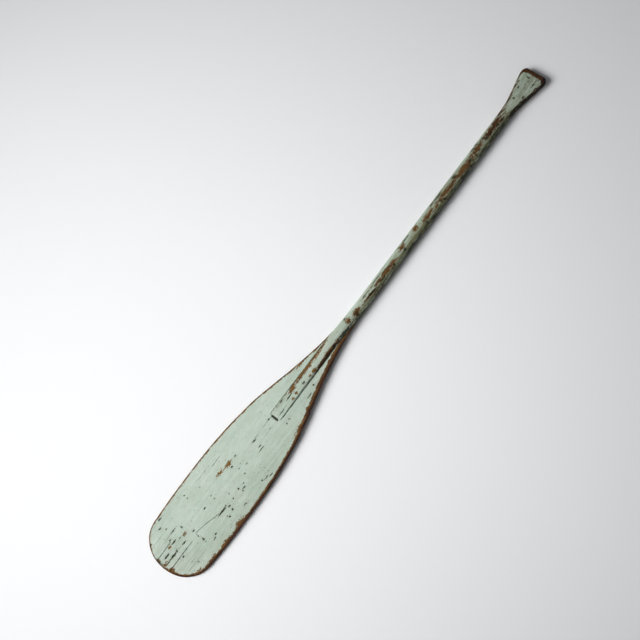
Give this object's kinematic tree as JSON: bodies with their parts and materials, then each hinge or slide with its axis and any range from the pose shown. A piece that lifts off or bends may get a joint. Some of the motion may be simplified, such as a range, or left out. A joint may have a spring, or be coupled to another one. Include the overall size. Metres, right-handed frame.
{
  "type": "boat paddle",
  "caption": "Single-bladed wooden boat paddle with a flat rounded plywood blade, a slotted round shaft and a flared palm grip, in worn mint paint.",
  "frame": {"origin": "middle of the paddle's bounding box in plan, at the lowest line of the round shaft", "axes": "+X along the paddle from the blade's tip towards the grip, +Z out of the blade's front face, so Z is the paddle's thickness and Y the blade's width"},
  "size_m": [1.524, 0.184, 0.0318],
  "materials": {
    "mint_paint": "worn mint green paint over brown wood, satin to matt",
    "brown_core_wood": "weathered bare ply edge, matt",
    "pale_dowel_wood": "bare dowel, matt"
  },
  "bodies": {
    "root": {"shaft": "mint_paint", "grip_ear_left": "mint_paint", "grip_ear_right": "mint_paint", "blade_front_veneer": "mint_paint", "blade_core_ply": "brown_core_wood", "blade_back_veneer": "mint_paint", "fork_dowel_1": "pale_dowel_wood", "fork_dowel_2": "pale_dowel_wood", "fork_dowel_3": "pale_dowel_wood"}
  },
  "joints": []
}
